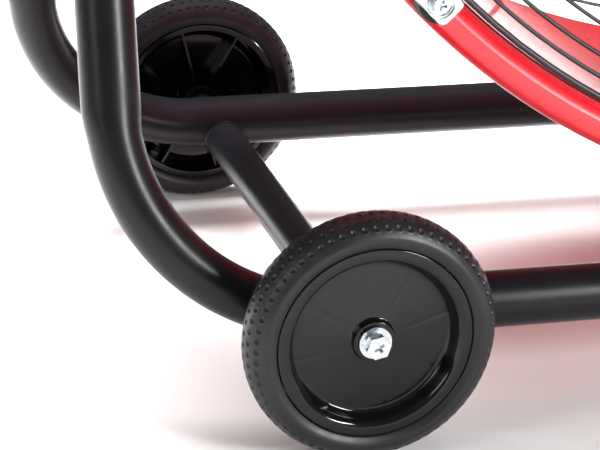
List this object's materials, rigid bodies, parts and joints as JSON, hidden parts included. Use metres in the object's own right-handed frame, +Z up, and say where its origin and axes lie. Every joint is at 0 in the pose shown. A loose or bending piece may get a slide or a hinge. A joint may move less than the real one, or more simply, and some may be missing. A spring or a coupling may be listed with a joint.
{
  "type": "wheeled tilting drum fan",
  "caption": "Large drum fan with wire guards, tilting between knobs on a black tube frame with two wheels and rubber feet.",
  "frame": {"origin": "on the floor, under the middle of the drum", "axes": "+X along the floor rails away from the wheels, +Y from the outlet guard to the rear guard, +Z up"},
  "size_m": [1.0992, 0.4724, 1.0985],
  "materials": {
    "frame_paint": "black satin powder coat with slight orange peel",
    "black_plastic": "moulded black plastic",
    "rubber": "black rubber",
    "wheel_plastic": "glossy black moulded plastic",
    "bush_plastic": "natural nylon",
    "tyre_rubber": "solid black rubber tread with pimples",
    "zinc": "bright zinc plating",
    "drum_paint": "glossy red powder coat",
    "guard_paint": "black powder coated wire",
    "motor_paint": "black enamel",
    "lamination_steel": "bare steel laminations",
    "steel": "ground steel",
    "blade_aluminium": "mill finish aluminium"
  },
  "bodies": {
    "frame": {"front_frame_tube": "frame_paint", "rear_frame_tube": "frame_paint", "axle_cross_tube": "frame_paint", "foot_cross_tube": "frame_paint", "axle_bosses": "frame_paint", "tube_end_caps": "black_plastic", "pivot_plate_left": "frame_paint", "pivot_plate_right": "frame_paint", "front_leg": "frame_paint", "rear_leg": "frame_paint", "front_foot": "rubber", "rear_foot": "rubber", "lift_handle": "frame_paint", "handle_grip": "rubber", "axle_washers": "zinc", "axle_bolts": "zinc"},
    "wheel_front": {"tyre_front": "tyre_rubber", "wheel_rim_front": "wheel_plastic", "wheel_bush_front": "bush_plastic"},
    "wheel_rear": {"tyre_rear": "tyre_rubber", "wheel_rim_rear": "wheel_plastic", "wheel_bush_rear": "bush_plastic"},
    "drum": {"drum_shell": "drum_paint", "front_guard_frame": "guard_paint", "front_guard_rings": "guard_paint", "rear_guard_frame": "guard_paint", "rear_guard_rings": "guard_paint", "guard_grommets": "rubber", "guard_clips": "zinc", "guard_screws": "zinc", "guard_inserts": "zinc", "pivot_boss_left": "drum_paint", "pivot_boss_right": "drum_paint", "friction_washer_left": "rubber", "friction_washer_right": "rubber", "motor_bar_upper": "guard_paint", "motor_bar_lower": "guard_paint", "bar_bolts": "zinc", "motor_plate": "guard_paint", "plate_bolts": "zinc", "motor_housing": "motor_paint", "motor_front_cap": "motor_paint", "motor_rear_cap": "motor_paint", "motor_stator": "lamination_steel", "motor_bearings": "steel", "run_capacitor": "black_plastic", "capacitor_clamp": "zinc", "switch_box": "black_plastic", "rotary_switch": "black_plastic", "cable_gland": "black_plastic"},
    "fan": {"motor_shaft": "steel", "motor_rotor": "lamination_steel", "fan_hub": "blade_aluminium", "fan_blades": "blade_aluminium"},
    "knob_left": {"tilt_knob_left": "black_plastic", "tilt_stud_left": "zinc"},
    "knob_right": {"tilt_knob_right": "black_plastic", "tilt_stud_right": "zinc"},
    "switch_dial": {"switch_knob": "black_plastic"}
  },
  "joints": [
    {"name": "drum_tilt", "type": "hinge", "parent": "frame", "child": "drum", "pos_m": [0, 0, 0.601], "axis": [-1, 0, 0], "range_deg": [-90, 90]},
    {"name": "fan_spin", "type": "hinge", "parent": "drum", "child": "fan", "pos_m": [0, -0.042, 0.601], "axis": [0, -1, 0], "continuous": true},
    {"name": "wheel_front_spin", "type": "hinge", "parent": "frame", "child": "wheel_front", "pos_m": [-0.391, -0.2165, 0.076], "axis": [0, -1, 0], "continuous": true},
    {"name": "wheel_rear_spin", "type": "hinge", "parent": "frame", "child": "wheel_rear", "pos_m": [-0.391, 0.2165, 0.076], "axis": [0, -1, 0], "continuous": true},
    {"name": "knob_left_turn", "type": "hinge", "parent": "frame", "child": "knob_left", "pos_m": [-0.514, 0, 0.601], "axis": [-1, 0, 0], "range_deg": [0, 360]},
    {"name": "knob_right_turn", "type": "hinge", "parent": "frame", "child": "knob_right", "pos_m": [0.514, 0, 0.601], "axis": [1, 0, 0], "range_deg": [0, 360]},
    {"name": "switch_turn", "type": "hinge", "parent": "drum", "child": "switch_dial", "pos_m": [0.36784, 0, 0.96884], "axis": [-0.7071, 0, -0.7071], "range_deg": [0, 90]}
  ]
}
